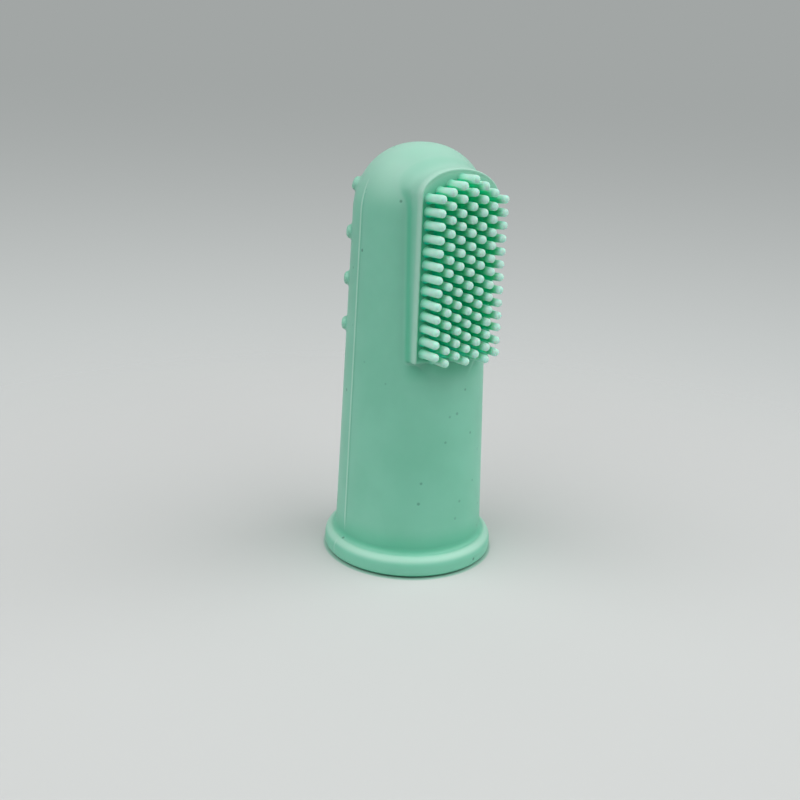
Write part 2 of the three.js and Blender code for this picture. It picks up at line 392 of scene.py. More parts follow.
# The mould line's painted shade, in the crease beside its crest.
FLASH_SILICONE = Silicone(
    name="mint_silicone_flash", painted_shade=linear(96, 178, 148), speck_share=0.0, scatter=0.0
)


# --- Shapes ---


@dataclass(frozen=True)
class SleeveForm:
    """The sleeve's outside, a cone with a full round dome, which every part is seated on.

    Its wall and the brush bed's distance from the axis are shared too. Millimetres.
    """

    foot_z: float = 3.4
    foot_radius: float = 10.95
    shoulder_z: float = 49.4
    shoulder_radius: float = 9.35
    dome_height: float = 9.9
    dome_power: float = 2.15
    wall: float = 1.8
    bed: float = 10.04
    # Painted shade just over the rim, up to neck_top, and a painted highlight on the dome.
    neck_top: float = 7.0
    neck_painted_shade: float = -0.55
    dome_painted_highlight: float = 0.7
    dome_fade: Fade = Fade(0.5, 7.5)

    def radius(self, z: float) -> float:
        """Radius at a height.

        Args:
            z: The height.

        Returns:
            The radius, 0 at the tip.
        """
        if z <= self.shoulder_z:
            share = (z - self.foot_z) / (self.shoulder_z - self.foot_z)
            return mix(self.foot_radius, self.shoulder_radius, share)
        rise = min((z - self.shoulder_z) / self.dome_height, 1.0)
        return self.shoulder_radius * (1.0 - rise**self.dome_power) ** (1.0 / self.dome_power)

    def dome(self, start: float, end: float, steps: int) -> list[Point2]:
        """Profile of the dome.

        Args:
            start: First angle, in degrees from the shoulder to the tip at 90.
            end: Last angle.
            steps: Number of chords.

        Returns:
            The points of (radius, height), from start to end.
        """
        power = 2.0 / self.dome_power
        unit = arc((0.0, 0.0), (1.0, 1.0), start, end, steps)
        full = [(max(x, 0.0) ** power, max(z, 0.0) ** power) for x, z in unit]
        return [(self.shoulder_radius * x, self.shoulder_z + self.dome_height * z) for x, z in full]

    def normal(self, z: float) -> Point2:
        """Outward direction at a height.

        Args:
            z: The height.

        Returns:
            Its parts away from the axis and up.
        """
        if z <= self.shoulder_z:
            slope = Vector((self.shoulder_z - self.foot_z, self.foot_radius - self.shoulder_radius))
        else:
            power = self.dome_power - 1.0
            away = (self.radius(z) / self.shoulder_radius) ** power / self.shoulder_radius
            up = ((z - self.shoulder_z) / self.dome_height) ** power / self.dome_height
            slope = Vector((away, up))
        return tuple(slope.normalized())

    def tone(self, z: float) -> float:
        """Painted highlight on the dome and painted shade just over the rim."""
        neck = self.neck_painted_shade * (1 - Fade(self.foot_z, self.neck_top).at(z))
        return self.dome_painted_highlight * self.dome_fade.at(z, self.shoulder_z) + neck

    def front(self, x: float, z: float) -> float:
        """How far in front of the axis the surface is, at a place seen from the front."""
        return math.sqrt(max(self.radius(z) ** 2 - x * x, 0.0))

    def above(self, turn: float, z: float, lift: float) -> Vector:
        """Point over the surface.

        Args:
            turn: Angle from the back, towards +X, in radians.
            z: Height of the place on the surface.
            lift: Distance over it.

        Returns:
            The point, about the sleeve's axis.
        """
        away, up = self.normal(z)
        reach = self.radius(z) + away * lift
        return Vector((reach * math.sin(turn), reach * math.cos(turn), z + up * lift))


class Form:
    """A mesh under construction, in millimetres about the sleeve's axis."""

    JOIN_DISTANCE = 1e-4
    SHARP_ANGLE = math.radians(50)

    def __init__(self) -> None:
        """Starts empty."""
        self.mesh = bmesh.new()

    @classmethod
    def spun(cls, profile: Sequence[Point2], segments: int, closed: bool = False) -> "Form":
        """Shape turned once round +Z.

        Args:
            profile: Points of (radius, height).
            segments: Number of steps round.
            closed: Whether the profile returns to its first point.

        Returns:
            The shape, closed at its seam and poles.
        """
        form = cls()
        points = [form.mesh.verts.new((radius, 0.0, z)) for radius, z in profile]
        chain = points + points[:1] if closed else points
        edges = [form.mesh.edges.new(pair) for pair in pairwise(chain)]
        bmesh.ops.spin(
            form.mesh, geom=points + edges, cent=(0, 0, 0), axis=(0, 0, 1), angle=math.tau,
            steps=segments, use_merge=True,
        )
        form.close()
        return form

    @classmethod
    def lofted(cls, rings: Sequence[Sequence[Vector]]) -> "Form":
        """Shape drawn through rings.

        Args:
            rings: The rings, all of the same count.

        Returns:
            The shape, capped at both ends.
        """
        form = cls()
        station = form.mesh.verts.layers.int.new("station")
        first = [form.mesh.verts.new(point) for point in rings[0]]
        for index, vertex in enumerate(first):
            vertex[station] = index
        edges = [form.mesh.edges.new(pair) for pair in pairwise(first + first[:1])]
        bmesh.ops.contextual_create(form.mesh, geom=edges)
        for ring in rings[1:]:
            drawn = bmesh.ops.extrude_edge_only(form.mesh, edges=edges)["geom"]
            edges = [item for item in drawn if isinstance(item, bmesh.types.BMEdge)]
            for vertex in (item for item in drawn if isinstance(item, bmesh.types.BMVert)):
                vertex.co = ring[vertex[station]]
        bmesh.ops.contextual_create(form.mesh, geom=edges)
        form.mesh.verts.layers.int.remove(form.mesh.verts.layers.int["station"])
        form.close()
        return form

    def shaded(self, rule: Callable[[Vector], float]) -> "Form":
        """Writes the painted light and shade of every vertex.

        Args:
            rule: Gives the painted light and shade at a place.

        Returns:
            The same shape.
        """
        layer = self.mesh.verts.layers.float.new(PAINTED_LIGHT)
        for vertex in self.mesh.verts:
            vertex[layer] = rule(vertex.co)
        return self

    def close(self) -> None:
        """Joins doubles and turns every face outwards."""
        bmesh.ops.remove_doubles(self.mesh, verts=self.mesh.verts, dist=self.JOIN_DISTANCE)
        bmesh.ops.recalc_face_normals(self.mesh, faces=self.mesh.faces)

    def piece(self, name: str, material: bpy.types.Material, *nodes: str) -> bpy.types.Object:
        """Makes the object.

        Args:
            name: Name of the piece.
            material: Its finish.
            nodes: The CAD nodes that it stands for.

        Returns:
            The object in metres, riding on the part's one body.
        """
        self.mesh.transform(Matrix.Translation(foot_centre()) @ Matrix.Scale(MM, 4))
        data = bpy.data.meshes.new(name)
        self.mesh.to_mesh(data)
        self.mesh.free()
        for face in data.polygons:
            face.use_smooth = True
        data.set_sharp_from_angle(angle=self.SHARP_ANGLE)
        data.materials.append(material)
        thing = new_object(name, data)
        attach(thing, "root")
        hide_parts(*nodes)
        log.info("%s: %d faces, stands for %s", name, len(data.polygons), ", ".join(nodes))
        return thing


@dataclass
class FingerSleeve:
    """The thimble itself, with its bore."""

    form: SleeveForm
    finish: Silicone
    tip_wall: float = 2.2
    side_heights: tuple[float, ...] = (
        38.0, 32.5, 31.0, 30.0, 29.0, 28.0, 26.5, 15.0, 8.0, 6.8, 5.9, 5.1, 4.5, 4.0
    )
    bore_heights: tuple[float, ...] = (15.0, 26.5, 38.0)
    dome_steps: int = 26
    bore_steps: int = 14
    segments: int = 128
    # Painted shadow under the brush and a little painted shade on the lower front.
    under_painted_shadow: float = 0.45
    under_heights: Fade = Fade(27.6, 30.4)
    under_reach: Fade = Fade(7.4, 8.8)
    front_painted_shade: float = 0.09
    front_heights: Fade = Fade(15.0, 26.5)
    front_reach: Fade = Fade(5.0, 9.0)

    def profile(self) -> list[Point2]:
        """Section of the wall.

        Returns:
            The outside from the tip to the foot, then the bore back up.
        """
        form = self.form
        radii = (form.shoulder_radius - form.wall, form.dome_height - self.tip_wall)
        sides = [(form.radius(z), z) for z in (*self.side_heights, form.foot_z)]
        bore = [(form.radius(z) - form.wall, z) for z in (form.foot_z, *self.bore_heights)]
        bore += arc((0.0, form.shoulder_z), radii, 0, 90, self.bore_steps)
        points = form.dome(90, 0, self.dome_steps) + sides + bore
        points[0] = (0.0, points[0][1])
        points[-1] = (0.0, points[-1][1])
        return points

    def build(self) -> None:
        """Builds and dresses the sleeve."""
        shell = Form.spun(self.profile(), self.segments).shaded(self._painted_light)
        shell.piece("sleeve_shell", self.finish.material(), "finger_sleeve")

    def _painted_light(self, point: Vector) -> float:
        """Painted shade of the skin just under the brush and a little on the lower front.

        Args:
            point: Place on the skin.

        Returns:
            The painted light and shade value.
        """
        under = self.under_heights.at(point.z) * self.under_reach.at(-point.y)
        front = (1 - self.front_heights.at(point.z)) * self.front_reach.at(-point.y)
        return self.form.tone(point.z) - self.under_painted_shadow * under - self.front_painted_shade * front


@dataclass
class BaseRim:
    """The rounded bead round the mouth, which runs into the sleeve in a hollow."""

    form: SleeveForm
    finish: Silicone
    projection: float = 1.6
    foot_round: Point2 = (1.5, 0.7)
    foot_steps: int = 7
    waist_z: float = 1.0
    crown_z: float = 3.05
    crown_round: Point2 = (1.1, 1.5)
    crown_end: float = 86.0
    crown_steps: int = 14
    hollow_top: float = 3.95
    hollow_lift: float = 0.004
    hollow_corner: Point2 = (0.03, 0.06)
    hollow_steps: int = 8
    tucked: float = 0.5
    mouth_round: float = 0.5
    mouth_steps: int = 6
    segments: int = 160
    # Painted shade in the hollow and on the side below the crown, a painted contact shadow under
    # the foot, and a painted highlight on the crown.
    hollow_painted_shade: float = -0.55
    hollow_reach: Fade = Fade(0.0, 0.5)
    hollow_heights: Fade = Fade(2.6, 3.1)
    side_painted_shade: float = -0.15
    crown_painted_highlight: float = 0.8
    crown_reach: Fade = Fade(0.35, 0.85)
    crown_heights: Fade = Fade(2.0, 2.7)
    foot_painted_shadow: float = -1.55
    foot_reach: Fade = Fade(-0.2, 0.5)
    foot_heights: Fade = Fade(0.22, 0.55)

    def outside(self) -> list[Point2]:
        """Profile of the bead's outside.

        Returns:
            The points of (radius, height), from the foot up to the sleeve.
        """
        edge = self.form.foot_radius + self.projection
        across, up = self.foot_round
        foot = arc((edge - across, up), self.foot_round, -90, 0, self.foot_steps)
        across, up = self.crown_round
        centre = (edge - across, self.crown_z - up)
        crown = arc(centre, self.crown_round, 0, self.crown_end, self.crown_steps)
        end = (self.form.radius(self.hollow_top) + self.hollow_lift, self.hollow_top)
        corner = (end[0] + self.hollow_corner[0], crown[-1][1] + self.hollow_corner[1])
        shares = [step / self.hollow_steps for step in range(1, self.hollow_steps + 1)]
        hollow = [self._curve(crown[-1], corner, end, share) for share in shares]
        return foot + [(edge, self.waist_z)] + crown + hollow

    @staticmethod
    def _curve(start: Point2, corner: Point2, end: Point2, share: float) -> Point2:
        """Point of a curve that leaves and reaches its ends along a corner's sides.

        Args:
            start: First end.
            corner: The corner, which the curve cuts.
            end: Last end.
            share: How far along the point lies, from 0 to 1.

        Returns:
            The point.
        """
        first = Vector(start).lerp(Vector(corner), share)
        second = Vector(corner).lerp(Vector(end), share)
        return tuple(first.lerp(second, share))

    def build(self) -> None:
        """Builds and dresses the bead."""
        form = self.form
        bore = form.foot_radius - form.wall
        centre = (bore + self.mouth_round, self.mouth_round)
        mouth = arc(centre, (self.mouth_round, self.mouth_round), 180, 270, self.mouth_steps)
        top = (form.radius(self.hollow_top) - self.tucked, self.hollow_top)
        profile = self.outside() + [top, (bore, form.foot_z)] + mouth
        bead = Form.spun(profile, self.segments, closed=True).shaded(self.tone)
        bead.piece("rim_bead", self.finish.material(), "base_rim")

    def tone(self, point: Vector) -> float:
        """Painted shade in the hollow and under the foot, and a painted highlight on the crown.

        Args:
            point: Place on the bead.

        Returns:
            The painted light and shade value.
        """
        out, z = math.hypot(point.x, point.y) - self.form.foot_radius, point.z
        hollow = self.hollow_painted_shade * (1 - self.hollow_reach.at(out)) * self.hollow_heights.at(z)
        crest = self.crown_painted_highlight * self.crown_reach.at(out)
        crown = mix(self.side_painted_shade, crest, self.crown_heights.at(z))
        foot = self.foot_painted_shadow * (1 - self.foot_heights.at(z)) * self.foot_reach.at(out)
        return hollow + crown + foot


@dataclass(frozen=True)
class ArchOutline:
    """The pad's outline from the front: straight sides, a low arch and rounded lower corners."""

    half_width: float = 6.0
    foot_z: float = 31.0
    spring_z: float = 52.85
    rise: float = 3.55
    least_rise: float = 0.3
    corner: float = 0.3
    least_corner: float = 0.12
    foot_steps: int = 12
    corner_steps: int = 5
    side_steps: int = 26
    arch_steps: int = 56
    depth_parts: int = 10
    most_depth: int = 3

    def encloses(self, x: float, z: float, inset: float) -> bool:
        """Whether a place is inside the outline's sides and arch, drawn in by an inset."""
        up = max(z - self.spring_z, 0.0) / (self.rise - inset)
        return (x / (self.half_width - inset)) ** 2 + up**2 < 1.0

    def depth(self, x: float, z: float) -> float:
        """How far a place lies inside the outline.

        Args:
            x: Place across the pad.
            z: Height of the place.

        Returns:
            The depth in whole tenths, 3 at most.
        """
        insets = [part / self.depth_parts for part in range(self.most_depth * self.depth_parts + 1)]
        passed = (low for low, high in pairwise(insets) if not self.encloses(x, z, high))
        return next(passed, insets[-1])

    def ring(self, inset: float) -> list[Point2]:
        """Closed ring along the outline.

        Args:
            inset: How far it is drawn in, or out where this is negative.

        Returns:
            Its stations of (x, z), from the middle of the foot towards +X.
        """
        half = self.half_width - inset
        foot = self.foot_z + inset
        corner = max(self.corner - inset, self.least_corner)
        rise = max(self.rise - inset, self.least_rise)
        end, top = half - corner, foot + corner
        right = [(end * step / self.foot_steps, foot) for step in range(self.foot_steps)]
        right += arc((end, top), (corner, corner), -90, 0, self.corner_steps)
        side = self.spring_z - foot - corner
        steps = range(1, self.side_steps)
        right += [(half, top + side * step / self.side_steps) for step in steps]
        arch = arc((0.0, self.spring_z), (half, rise), 0, 180, self.arch_steps)
        left = [(-x, z) for x, z in reversed(right[1:])]
        return right + arch + left


class SkinSlide:
    """Ways over the sleeve's skin, square away from each station of an outline."""

    STEP = 0.05
    SHORTEST = 1e-9

    def __init__(self, form: SleeveForm, outline: ArchOutline, longest: float) -> None:
        """Measures the ways, to a longest distance in millimetres."""
        rings = [outline.ring(-self.STEP * k) for k in range(int(longest / self.STEP) + 1)]
        self.ways = [[Vector((x, -form.front(x, z), z)) for x, z in way] for way in zip(*rings)]

    def lifted(self, i: int, along: float, height: float) -> Vector:
        """Point over the skin, or under it.

        Args:
            i: The station.
            along: Distance from it along the skin.
            height: Distance in front of the skin.

        Returns:
            The point.
        """
        gone = 0.0
        for first, second in pairwise(self.ways[i]):
            length = (second - first).length
            if gone + length >= along:
                point = first.lerp(second, (along - gone) / max(length, self.SHORTEST))
                return point - Vector((0.0, height, 0.0))
            gone += length
        return self.ways[i][-1] - Vector((0.0, height, 0.0))


@dataclass(frozen=True)
class PadShades:
    """Painted light and shade of the pad. A pair of numbers holds for its sides and its arch."""

    arch: Fade = Fade(-1.5, 1.5)
    lip: Point2 = (0.8, 1.0)
    lip_start: Point2 = (1.2, 1.9)
    lip_end: float = 0.3
    ramp: float = -0.45
    ramp_heights: Fade = Fade(-3.4, -0.6)
    ramp_sides: Fade = Fade(4.0, 4.8)
    bed: Point2 = (0.9, 0.2)
    bed_middle: float = 2.0
    bed_depth: Fade = Fade(1.4, 2.8)
    bed_foot: Fade = Fade(0.2, 0.8)
    glow: float = 0.8
    glow_depth: Fade = Fade(0.4, 1.2)
    wall: Point2 = (0.6, 0.22)
    wall_foot: Fade = Fade(-0.01, 0.2)
    wall_top: Fade = Fade(0.4, 1.4)


@dataclass
class BrushPad:
    """The raised bed of the brush and the rounded lip round it, melted into the sleeve."""

    form: SleeveForm
    finish: Silicone
    outline: ArchOutline = ArchOutline()
    shades: PadShades = PadShades()
    inner_edge: tuple[Point2, ...] = (
        (2.8, 0.0), (2.2, 0.0), (1.6, 0.0), (0.85, 0.0),
        (0.58, 0.0), (0.48, 0.02), (0.38, 0.05), (0.28, 0.07),
    )
    crown_inset: float = 0.2
    crown_rise: float = 0.08
    crown_round: float = 1.0
    crown_steps: int = 10
    wall_steps: int = 3
    fillet_steps: int = 9
    side_fillet: float = 0.55
    arch_fillet: float = 2.3
    arch_ease: Fade = Fade(-1.4, 2.4)
    foot_ramp: float = 2.6
    foot_ease: Fade = Fade(-1.5, 0.7)
    lip_return: float = 1.8
    margin: float = 0.1
    longest_way: float = 3.4
    tuck: tuple[Point2, ...] = ((0.12, 0.008), (0.3, 0.02), (0.4, 1.1))
    buried: float = 1.4
    back_insets: tuple[float, ...] = (0.0, 2.4, 4.8)

    def build(self) -> None:
        """Builds and dresses the pad."""
        shape = Form.lofted(self.rings()).shaded(self._painted_light)
        shape.piece("pad_and_lip", self.finish.material(), "pad_lip")

    def lip(self) -> list[Point2]:
        """Section of the lip.

        Returns:
            The points of (inset, rise over the bed), from the bed over the crown to the wall.
        """
        inset, high = self.crown_inset, self.crown_round
        crown = arc((inset, self.crown_rise - high), (inset, high), 90, 180, self.crown_steps)
        return [*self.inner_edge, *crown]

    def rings(self) -> list[list[Vector]]:
        """Rings of the whole shape.

        Returns:
            The rings from the bed over the lip, down the wall and the hollow, and back under the
            sleeve's surface.
        """
        form, outline = self.form, self.outline
        ease = [self._ease(x, z) for x, z in outline.ring(0.0)]
        rings = []
        for inset, rise in self.lip():
            reaches = [form.bed + rise * (1 - foot) for foot, _ in ease]
            rings.append([Vector((x, -y, z)) for (x, z), y in zip(outline.ring(inset), reaches)])
        slide = SkinSlide(form, outline, self.longest_way)
        for step in range(1, self.wall_steps + self.fillet_steps + 1):
            rings.append([self._outer(slide, i, step, *shares) for i, shares in enumerate(ease)])
        for beyond, depth in self.tuck:
            ways = [self._hollow(*shares) + beyond for shares in ease]
            rings.append([slide.lifted(i, way, -depth) for i, way in enumerate(ways)])
        for inset in self.back_insets:
            flat = outline.ring(inset)
            rings.append([Vector((x, self.buried - form.front(x, z), z)) for x, z in flat])
        return rings

    def _ease(self, x: float, z: float) -> Point2:
        """Kind of a place on the outline.

        Args:
            x: Place across the pad.
            z: Height of the place.

        Returns:
            How far it belongs to the open foot, and how far to the arch.
        """
        end = self.outline.half_width - self.lip_return
        low = z < self.outline.foot_z + self.margin
        foot = 1.0 - self.foot_ease.at(abs(x), end) if low else 0.0
        return foot, self.arch_ease.at(z, self.outline.spring_z)

    def _hollow(self, foot: float, arch: float) -> float:
        """Length of the hollow along the sleeve."""
        return mix(mix(self.side_fillet, self.arch_fillet, arch), self.foot_ramp, foot)

    def _outer(self, slide: SkinSlide, i: int, step: int, foot: float, arch: float) -> Vector:
        """Point of the wall or the hollow below the lip.

        Args:
            slide: The ways over the sleeve's skin.
            i: Station on the outline.
            step: Number of the ring, counted from the lip.
            foot: How far the station belongs to the open foot.
            arch: How far it belongs to the arch.

        Returns:
            The point.
        """
        x, _, z = slide.ways[i][0]
        skin = self.form.front(x, z)
        top = self.form.bed + self.crown_rise - self.crown_round
        length = self._hollow(0.0, arch)
        height = min(length, max(top - skin, 0.0))
        if step <= self.wall_steps:
            side = Vector((x, -mix(top, skin + height, step / self.wall_steps), z))
        else:
            turn = (step - self.wall_steps) / self.fillet_steps * math.pi / 2
            side = slide.lifted(i, length * (1 - math.cos(turn)), height * (1 - math.sin(turn)))
        if foot == 0.0:
            return side
        share = step / (self.wall_steps + self.fillet_steps)
        height = (self.form.bed - skin) * (1 - Fade(0.0, 1.0).at(share))
        return side.lerp(slide.lifted(i, self.foot_ramp * share, height), foot)

    def _painted_light(self, point: Vector) -> float:
        """Painted shade in the bed and at the walls' foot, and a painted highlight on the lip.

        Args:
            point: Place on the pad.

        Returns:
            The painted light and shade value.
        """
        shades, outline, reach = self.shades, self.outline, -point.y
        high = shades.arch.at(point.z, outline.spring_z)
        crown = Fade(-mix(*shades.lip_start, high), -shades.lip_end).at(reach, self.form.bed)
        lip = mix(*shades.lip, high) * crown
        # Painted shadow on the ramp under the brush.
        if point.z < outline.foot_z - self.margin:
            ramp = shades.ramp * shades.ramp_heights.at(point.z, outline.foot_z)
            return mix(ramp, lip, shades.ramp_sides.at(abs(point.x)))
        # Painted shade in the bed between the bristles, with painted light near the arch.
        if outline.encloses(point.x, point.z, self.crown_inset + self.margin):
            depth = outline.depth(point.x, point.z)
            arch = shades.bed[1] - shades.glow * (1 - shades.glow_depth.at(depth))
            edge = mix(shades.bed[0], arch, high)
            inside = mix(edge, shades.bed_middle, shades.bed_depth.at(depth))
            return -inside * shades.bed_foot.at(point.z, outline.foot_z)
        # Painted shade at the wall's foot, and a painted highlight on the lip.
        skin = self.form.front(point.x, point.z)
        wall = shades.wall_foot.at(reach, skin) * (1 - shades.wall_top.at(reach, skin))
        return max(lip, self.form.tone(point.z)) - wall * mix(*shades.wall, high)


@dataclass
class BristleField:
    """Ninety-seven bristles in seven staggered columns, with flared roots and round tips."""

    form: SleeveForm
    finish: Silicone
    length: float = 3.6
    root_radius: float = 0.6
    tip_radius: float = 0.55
    buried: float = 0.3
    flare: float = 0.16
    flare_knee: Point2 = (0.3, 0.1)
    flare_height: float = 0.3
    cap_height: float = 0.42
    cap_steps: int = 5
    sides: int = 12
    column_pitch: float = 1.575
    row_pitch: float = 1.675
    lowest_z: float = 31.75
    counts: tuple[int, ...] = (13, 14, 14, 15, 14, 14, 13)
    rise: float = 2.0
    lean: float = 0.9
    width_spread: float = 0.02
    length_spread: float = 0.012
    seed: int = 7
    # Painted shade on sides that see little past the other bristles, painted light on sides that
    # face up or out, and a painted highlight towards the tip.
    sight: float = 6.0
    sight_rays: int = 5
    sight_turn: float = 15.0
    upward: float = 0.4
    cover: Fade = Fade(0.45, 0.85)
    open_painted_light: Point2 = (0.25, 0.9)
    open_rise: Fade = Fade(0.0, 0.45)
    covered_painted_light: Point2 = (-2.0, 0.0)
    covered_rise: Fade = Fade(0.1, 0.65)
    tip_rise: Fade = Fade(0.65, 0.92)

    def profile(self) -> list[Point2]:
        """Section of one bristle.

        Returns:
            The points of (radius, height), from inside the bed to its tip.
        """
        root, tip, cap = self.root_radius, self.tip_radius, self.cap_height
        wide = root + self.flare
        knee = (root + self.flare_knee[0] * self.flare, self.flare_knee[1])
        roots = [(0.0, -self.buried), (wide, -self.buried), (wide, 0.0), knee]
        shaft = [(root, self.flare_height), (mix(root, tip, 0.5), self.length / 2)]
        top = arc((0.0, self.length - cap), (tip, cap), 0, 90, self.cap_steps)
        top[-1] = (0.0, self.length)
        return roots + shaft + top

    def places(self, column: int) -> list[Point2]:
        """Places of one column.

        Args:
            column: Its number, counted from the middle towards +X.

        Returns:
            The places of (x, z), from the bottom up.
        """
        low = self.lowest_z + (self.row_pitch / 2 if column % 2 else 0.0)
        rows = range(self.counts[column + len(self.counts) // 2])
        return [(column * self.column_pitch, low + row * self.row_pitch) for row in rows]

    def all_places(self) -> list[Point2]:
        """Places of the whole field."""
        half = len(self.counts) // 2
        return [place for column in range(-half, half + 1) for place in self.places(column)]

    def group(self, columns: Iterable[int], chance: random.Random) -> Form:
        """Bristles of some columns as one shape.

        Args:
            columns: The columns.
            chance: Draws each bristle's small differences.

        Returns:
            The shape, with its painted light and shade.
        """
        whole = Form()
        whole.mesh.verts.layers.float.new(PAINTED_LIGHT)
        for x, z in (place for column in columns for place in self.places(column)):
            bristle = self._bristle(x, z, chance)
            data = bpy.data.meshes.new("bristle")
            bristle.mesh.to_mesh(data)
            bristle.mesh.free()
            whole.mesh.from_mesh(data)
            bpy.data.meshes.remove(data)
        return whole

    def _bristle(self, x: float, z: float, chance: random.Random) -> Form:
        """One bristle, a little off in width, lean and length.

        Args:
            x: Place of the bristle across the pad.
            z: Place of its tip up the pad.
            chance: Draws the differences.

        Returns:
            The bristle at its place.
        """
        openness = self._openness(x, z)
        bristle = Form.spun(self.profile(), self.sides)
        bristle.shaded(lambda point: self._painted_light(point, openness))
        width = 1.0 + chance.uniform(-self.width_spread, self.width_spread)
        tilt_x = math.radians(90 - self.rise + chance.uniform(-self.lean, self.lean))
        tilt_z = math.radians(chance.uniform(-self.lean, self.lean))
        length = 1.0 + chance.uniform(-self.length_spread, self.length_spread)
        root_z = z - self.length * math.sin(math.radians(self.rise))
        turn = Matrix.Rotation(tilt_z, 4, "Z") @ Matrix.Rotation(tilt_x, 4, "X")
        size = Matrix.Diagonal((width, width, length, 1.0))
        bristle.mesh.transform(Matrix.Translation((x, -self.form.bed, root_z)) @ turn @ size)
        return bristle

    def _openness(self, x: float, z: float) -> list[float]:
        """How much of its surroundings each side of a bristle sees past others, for painted shade.

        Args:
            x: Place of the bristle across the pad.
            z: Place of the bristle up the pad.

        Returns:
            A share from 0 to 1 for each side, counted from +X towards the arch.
        """
        here = Vector((x, z))
        others = [Vector(place) for place in self.all_places() if place != (x, z)]
        near = [place for place in others if (place - here).length < self.sight]
        rays = range(-self.sight_rays, self.sight_rays + 1)
        turns = [math.radians(self.sight_turn * ray) for ray in rays]
        shares = []
        for side in range(self.sides):
            facing = math.tau * side / self.sides
            start = here + self.root_radius * Vector((math.cos(facing), math.sin(facing)))
            gaps = [place - start for place in near]
            seen = whole = 0.0
            for turn in turns:
                ray = Vector((math.cos(facing + turn), math.sin(facing + turn)))
                whole += math.cos(turn)
                seen += 0.0 if any(self._blocks(gap, ray) for gap in gaps) else math.cos(turn)
            shares.append(seen / whole)
        return shares

    def _blocks(self, gap: Vector, ray: Vector) -> bool:
        """Whether a bristle at the end of a gap stands in a ray's way."""
        return gap.dot(ray) > 0 and abs(gap.x * ray.y - gap.y * ray.x) < self.root_radius

    def _painted_light(self, point: Vector, openness: Sequence[float]) -> float:
        """Painted light of a bristle that still stands upright at the origin.

        Args:
            point: Place on the bristle.
            openness: How open each of its sides is.

        Returns:
            A painted highlight at the tip and on sides that face up or out of the field, and
            painted shade between the roots.
        """
        share = min(max(point.z / self.length, 0.0), 1.0)
        across = math.hypot(point.x, point.y)
        if across < self.tip_radius / 2:
            return 1.0
        side = round(math.atan2(point.y, point.x) / math.tau * self.sides) % self.sides
        # Painted light on sides that face up.
        lit = self.upward * point.y / across
        open_side_light = mix(*self.open_painted_light, self.open_rise.at(share))
        covered_side_light = mix(*self.covered_painted_light, self.covered_rise.at(share))
        covered_side_light += self.tip_rise.at(share)
        return mix(open_side_light, covered_side_light, self.cover.at(1 - openness[side] - lit))

    def build(self) -> None:
        """Builds and dresses the three groups."""
        chance = random.Random(self.seed)
        material = self.finish.material()
        groups = {Side.LEFT: (-3, -2), Side.MIDDLE: (-1, 0, 1), Side.RIGHT: (2, 3)}
        for side, columns in groups.items():
            bristles = self.group(columns, chance)
            bristles.piece(f"brush_{side.word}", material, f"bristles_{side.word}")


@dataclass
class MassageNubs:
    """Low round nubs on the back, in three columns of four, each melted into the sleeve."""

    form: SleeveForm
    finish: Silicone
    rows: int = 4
    row_pitch: float = 6.5
    top_z: float = 53.4
    column_turn: float = 60.0
    section: tuple[Point2, ...] = (
        (0.0, -1.2), (1.3, -1.2), (1.55, -0.4), (1.38, 0.005), (1.18, 0.035), (1.02, 0.13),
        (0.95, 0.28), (0.88, 0.45), (0.72, 0.61), (0.45, 0.72), (0.0, 0.75),
    )
    segments: int = 24
    # Painted highlight on the nub's crest.
    crest_painted_highlight: float = 0.35
    crest_rise: Fade = Fade(0.05, 0.4)

    def nub(self, turn: float, z: float) -> Form:
        """One nub, bent round the sleeve.

        Args:
            turn: Its angle from the back, towards +X, in radians.
            z: Its height.

        Returns:
            The nub at its place.
        """

        def tone(point: Vector) -> float:
            """The skin's painted light, with a painted highlight towards the crest."""
            crest = self.crest_painted_highlight * self.crest_rise.at(point.z)
            return max(self.form.tone(z + point.y * away), crest)

        away, _ = self.form.normal(z)
        nub = Form.spun(self.section, self.segments).shaded(tone)
        for vertex in nub.mesh.verts:
            across, along, lift = vertex.co
            place = self.form.above(turn + across / self.form.radius(z), z + along * away, lift)
            vertex.co = place
        nub.close()
        return nub

    def build(self) -> None:
        """Builds and dresses the nubs."""
        material = self.finish.material()
        for side in Side:
            turn = math.radians(side.value * self.column_turn)
            for row in range(self.rows):
                nub = self.nub(turn, self.top_z - row * self.row_pitch)
                name = f"nub_{side.word}_{row + 1}"
                nub.piece(name, material, f"massage_{name}")


